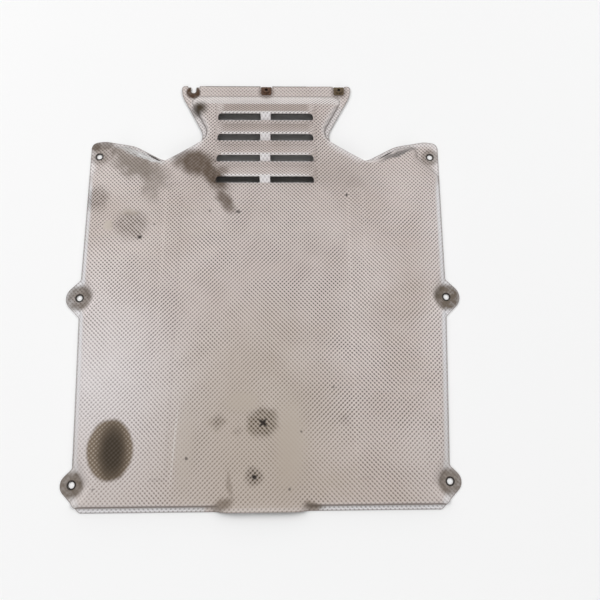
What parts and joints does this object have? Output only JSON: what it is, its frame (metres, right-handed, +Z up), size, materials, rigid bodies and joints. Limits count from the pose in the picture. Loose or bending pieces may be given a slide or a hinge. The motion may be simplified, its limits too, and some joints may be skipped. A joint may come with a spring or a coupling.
{
  "type": "engine skid plate",
  "caption": "Pressed aluminium sheet with a raised embossed pan, a narrow louvred neck, scooped shoulders and bolt ears, bolted under a car's engine to shield it.",
  "frame": {"origin": "below the middle of the plate's box, on the surface that it lies on", "axes": "+X across the plate to its right side, +Y towards the louvred neck and the front flange, +Z up, out of the raised side of the pan"},
  "size_m": [0.545, 0.613, 0.0175],
  "materials": {
    "embossed_sheet": "dull bare aluminium with a fine diamond embossing, dirt around the holes and oil stains",
    "rusty_steel": "brown rusty spring steel"
  },
  "bodies": {
    "root": {"skid_plate": "embossed_sheet", "clip_centre": "rusty_steel", "clip_right": "rusty_steel"}
  },
  "joints": []
}
